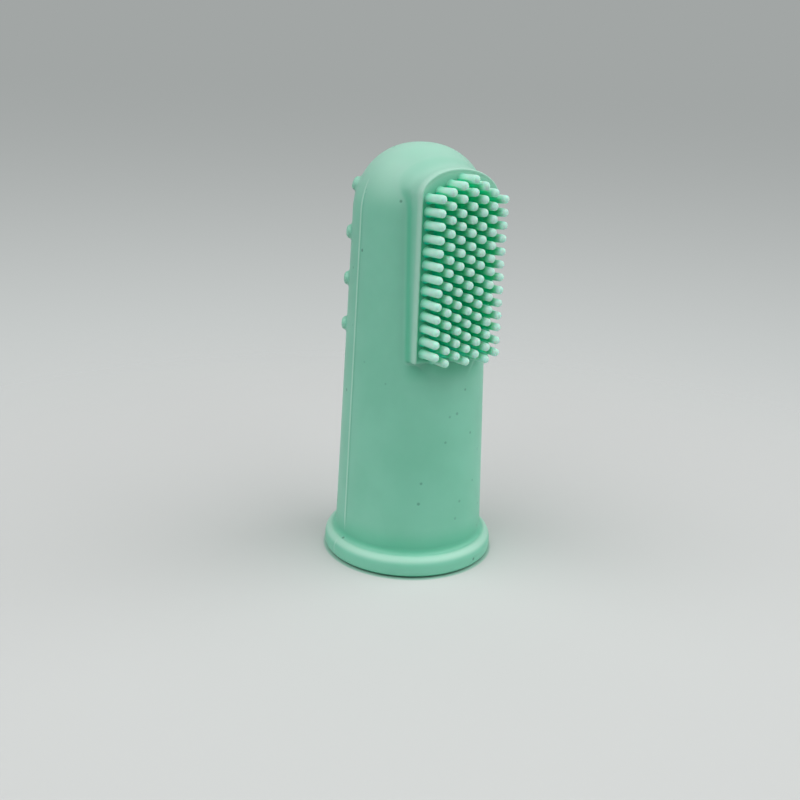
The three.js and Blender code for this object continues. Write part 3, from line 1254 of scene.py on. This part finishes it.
@dataclass
class MouldLines:
    """The fine raised line where the mould's halves meet, up both sides from foot to shoulder."""

    form: SleeveForm
    rim: BaseRim
    finish: Silicone
    section: tuple[Point2, ...] = (
        (0.1, -0.03), (0.17, 0.06), (0.32, 0.1), (0.46, 0.07),
        (0.53, 0.014), (0.74, 0.01), (0.8, -0.03), (0.4, -0.6),
    )
    side_heights: tuple[float, ...] = (
        4.5, 5.2, 6.2, 8.0, 12.0, 18.0, 24.0, 30.0, 36.0, 42.0, 46.0
    )
    dome_angle: float = 40.0
    dome_steps: int = 10
    sunk: float = 0.03
    foot_fade: Fade = Fade(0.2, 0.9)
    top_fade: Fade = Fade(-5.0, 0.0)
    rim_share: float = 0.5
    rim_end: Fade = Fade(2.4, 3.2)
    hollow_share: float = 0.1
    hollow_end: Fade = Fade(3.7, 6.0)
    # Painted highlight on the crest and painted shade in the crease beside it, made lighter on the
    # rim.
    crease: Fade = Fade(0.46, 0.53)
    rim_lift: float = 0.1
    rim_painted_light: Point2 = (0.3, -0.6)
    rim_fade: Fade = Fade(2.2, 2.9)
    skin_painted_light: Point2 = (0.9, -0.4)
    skin_fade: Fade = Fade(3.9, 6.4)

    def path(self) -> list[Point2]:
        """Profile that the line follows.

        Returns:
            The points of (radius, height), from the foot of the rim to the dome.
        """
        rim = [point for point in self.rim.outside() if point[1] > self.foot_fade.start]
        side = [(self.form.radius(z), z) for z in self.side_heights]
        return rim + side + self.form.dome(0, self.dome_angle, self.dome_steps)

    def rings(self, side: Side) -> list[list[Vector]]:
        """Cross-sections of one line.

        Args:
            side: The side that it runs up.

        Returns:
            The rings from the foot up, with the crease towards the brush. They sink in at both
            ends, and are low on the rim and in the hollow over it.
        """
        path = self.path()
        rings = []
        for index, (radius, z) in enumerate(path):
            before, after = path[max(index - 1, 0)], path[min(index + 1, len(path) - 1)]
            along = Vector((after[0] - before[0], after[1] - before[1])).normalized()
            share = (1 - self.top_fade.at(z, path[-1][1])) * self.foot_fade.at(z)
            over = mix(self.hollow_share, 1.0, self.hollow_end.at(z))
            share *= mix(self.rim_share, over, self.rim_end.at(z))
            ring = []
            for forward, lift in self.section:
                height = lift * share - self.sunk * (1 - share)
                reach = math.sqrt((radius + along.y * height) ** 2 - forward**2)
                ring.append(Vector((side.value * reach, -forward, z - along.x * height)))
            rings.append(ring)
        return rings

    def build(self) -> None:
        """Builds and dresses both lines."""
        material = self.finish.material()
        for side in (Side.LEFT, Side.RIGHT):
            line = Form.lofted(self.rings(side)).shaded(self._painted_light)
            line.piece(f"mould_line_{side.word}", material, f"parting_ridge_{side.word}")

    def _painted_light(self, point: Vector) -> float:
        """Painted highlight on the crest, painted shade in the crease, the rim's painted light on
        the rim.

        Args:
            point: Place on the line.

        Returns:
            The painted light and shade value.
        """
        crease = self.crease.at(-point.y)
        if point.z < self.rim.hollow_top:
            line = mix(*self.rim_painted_light, crease) * (1 - self.rim_fade.at(point.z))
            return self.rim.tone(point) + self.rim_lift + line
        line = mix(*self.skin_painted_light, crease)
        return mix(self.form.tone(point.z), line, self.skin_fade.at(point.z))


# --- Studio ---


@dataclass(frozen=True)
class Softbox:
    """A large soft lamp aimed at the object, in metres and degrees.

    Turn 0 is in front, and 90 is at +X.
    """

    name: str
    turn: float
    tilt: float
    distance: float
    width: float
    height: float
    level: float

    def build(self, target: Vector) -> None:
        """Hangs the lamp.

        Args:
            target: The place that it is aimed at.
        """
        turn, tilt = math.radians(self.turn), math.radians(self.tilt)
        out, up = math.cos(tilt), math.sin(tilt)
        back = Vector((math.sin(turn) * out, -math.cos(turn) * out, up))
        lamp = bpy.data.lights.new(self.name, "AREA")
        lamp.shape = "RECTANGLE"
        lamp.size = self.width
        lamp.size_y = self.height
        lamp.energy = self.level * math.pi**2 * self.distance**2
        turned = back.to_track_quat("Z", "Y").to_matrix().to_4x4()
        thing = new_object(self.name, lamp)
        thing.matrix_world = Matrix.Translation(target + back * self.distance) @ turned
        log.info("lamp %s at level %.2f", self.name, self.level)


@dataclass
class Studio:
    """Camera, lamps, floor and background, in metres, with the camera's place in millimetres."""

    lamps: tuple[Softbox, ...] = (
        Softbox("left_window", -85, 46, 0.7, 1.0, 0.8, 0.92),
        Softbox("right_window", 40, 46, 0.7, 1.0, 0.8, 0.79),
        Softbox("right_fill", 62, 22, 0.7, 0.7, 0.7, 0.23),
        Softbox("back_window", 150, 58, 0.7, 0.8, 0.8, 0.10),
    )
    aim_height: float = 0.03
    ambient: float = 0.10
    floor_colour: Colour = linear(211, 213, 212)
    near_colour: Colour = linear(204, 208, 207)
    far_colour: Colour = linear(162, 166, 165)
    # Painted contact shadow at the rim's foot, tinted green.
    painted_contact_shadow_colour: Colour = linear(156, 202, 185)
    floor_radius: float = 0.6
    floor_segments: int = 96
    floor_roughness: float = 0.8
    floor_specular: float = 0.2
    mouth_edge: Fade = Fade(0.0096, 0.0092)
    painted_contact_shadow_edge: Fade = Fade(0.013, 0.0125)
    outer_edge: Fade = Fade(0.04, 0.17)
    sky_edge: Fade = Fade(0.05, -0.30)
    distance: float = 126.64
    eye_height: float = 60.96
    turn: float = 30.882
    yaw: float = -0.831
    pitch: float = 16.851
    roll: float = 2.126
    lens: float = 40.415
    sensor: float = 36.0
    clip: Point2 = (0.005, 20.0)

    def build(self) -> None:
        """Builds the studio."""
        axis = foot_centre()
        self._camera(axis)
        self._floor(axis)
        self._world()
        for lamp in self.lamps:
            lamp.build(axis + Vector((0.0, 0.0, self.aim_height)))
        bpy.context.scene.view_settings.view_transform = "Standard"

    def _camera(self, axis: Vector) -> None:
        """Sets the camera at the photograph's place.

        Args:
            axis: Foot of the sleeve's axis.
        """
        turn = math.radians(self.turn)
        away = Vector((-math.sin(turn), -math.cos(turn), 0.0)) * self.distance
        place = axis + (away + Vector((0.0, 0.0, self.eye_height))) * MM
        data = bpy.data.cameras.new("camera")
        data.lens = self.lens
        data.sensor_width = self.sensor
        data.clip_start, data.clip_end = self.clip
        thing = new_object("camera", data)
        thing.matrix_world = (
            Matrix.Translation(place)
            @ Matrix.Rotation(-turn - math.radians(self.yaw), 4, "Z")
            @ Matrix.Rotation(math.radians(90 - self.pitch), 4, "X")
            @ Matrix.Rotation(math.radians(self.roll), 4, "Z")
        )
        bpy.context.scene.camera = thing

    def _floor(self, axis: Vector) -> None:
        """Lays a round pale floor, which fades out and is clear from below and under the bore.

        A painted contact shadow, tinted green for the light that the silicone lets through, darkens
        the floor at the foot.

        Args:
            axis: Foot of the sleeve's axis.
        """
        shape = bmesh.new()
        bmesh.ops.create_circle(
            shape, cap_ends=True, segments=self.floor_segments, radius=self.floor_radius
        )
        data = bpy.data.meshes.new("floor")
        shape.to_mesh(data)
        shape.free()
        material = bpy.data.materials.new("floor_paper")
        shader = Shader(material)
        ends = {0: shader.signal("ShaderNodeTexCoord", "Object"), 1: axis}
        away = shader.signal("ShaderNodeVectorMath", "Value", {"operation": "DISTANCE"}, ends)
        below = shader.signal("ShaderNodeNewGeometry", "Backfacing")
        clear = away.step(self.outer_edge) + away.step(self.mouth_edge) + below
        # Painted contact shadow ring round the foot.
        painted_contact_shadow = away.step(self.painted_contact_shadow_edge)
        sockets = {
            "Base Color": shader.blend(self.floor_colour, self.painted_contact_shadow_colour, painted_contact_shadow),
            "Roughness": self.floor_roughness,
            "Specular IOR Level": self.floor_specular,
        }
        paper = shader.add("ShaderNodeBsdfPrincipled", None, sockets).outputs["BSDF"]
        glass = shader.add("ShaderNodeBsdfTransparent").outputs["BSDF"]
        both = shader.signal("ShaderNodeMixShader", "Shader", None, {0: clear, 1: paper, 2: glass})
        shader.add("ShaderNodeOutputMaterial", None, {"Surface": both})
        data.materials.append(material)
        thing = new_object("floor", data)

    def _world(self) -> None:
        """Lights from all round, and shows the background to the camera and in reflections."""
        world = bpy.data.worlds.new("studio")
        bpy.context.scene.world = world
        shader = Shader(world)
        rays = shader.add("ShaderNodeLightPath").outputs
        seen = Signal(shader, rays["Is Camera Ray"]) + Signal(shader, rays["Is Glossy Ray"])
        seen = seen + Signal(shader, rays["Is Transmission Ray"])
        direction = shader.signal("ShaderNodeTexCoord", "Generated")
        up = shader.signal("ShaderNodeSeparateXYZ", "Z", None, {0: direction})
        backdrop = shader.blend(self.far_colour, self.near_colour, up.step(self.sky_edge))
        colour = shader.blend((self.ambient, self.ambient, self.ambient, 1.0), backdrop, seen)
        background = shader.signal("ShaderNodeBackground", "Background", None, {"Color": colour})
        shader.add("ShaderNodeOutputWorld", None, {"Surface": background})


def main() -> None:
    """Builds the studio and the toothbrush, in order."""
    logging.basicConfig(level=logging.INFO, format="%(name)s: %(message)s")
    form = SleeveForm()
    body = Silicone()
    rim = BaseRim(form, body)
    Studio().build()
    FingerSleeve(form, body).build()
    rim.build()
    BrushPad(form, PAD_SILICONE).build()
    BristleField(form, BRISTLE_SILICONE).build()
    MassageNubs(form, body).build()
    MouldLines(form, rim, FLASH_SILICONE).build()


if __name__ == "__main__":
    main()
